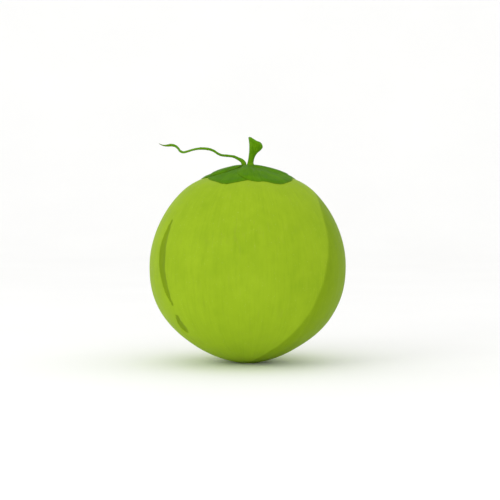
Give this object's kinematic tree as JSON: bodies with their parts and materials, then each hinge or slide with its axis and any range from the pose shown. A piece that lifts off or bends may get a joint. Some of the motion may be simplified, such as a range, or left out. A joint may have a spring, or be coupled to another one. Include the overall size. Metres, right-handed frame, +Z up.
{
  "type": "green coconut",
  "caption": "Round young green coconut with a dark leathery cap, a flared stalk stub and a thin wavy tail, standing on a small flat spot.",
  "frame": {"origin": "middle of the small flat spot at the fruit's tip, which it stands on", "axes": "+Z up from the tip to the crown and its stalk, -Y towards the front, +X to the right seen from the front; the thin tail runs towards -X"},
  "size_m": [0.1789, 0.1817, 0.2064],
  "materials": {
    "husk_skin": "smooth waxy green skin, satin",
    "tepal_leather": "leathery, matt, dark green",
    "green_stalk": "fibrous green stalk, matt"
  },
  "bodies": {
    "root": {"fruit": "husk_skin", "inner_tepal_1": "tepal_leather", "inner_tepal_2": "tepal_leather", "inner_tepal_3": "tepal_leather", "outer_tepal_1": "tepal_leather", "outer_tepal_2": "tepal_leather", "outer_tepal_3": "tepal_leather", "branch_stub": "green_stalk", "branch_tail": "green_stalk"}
  },
  "joints": []
}
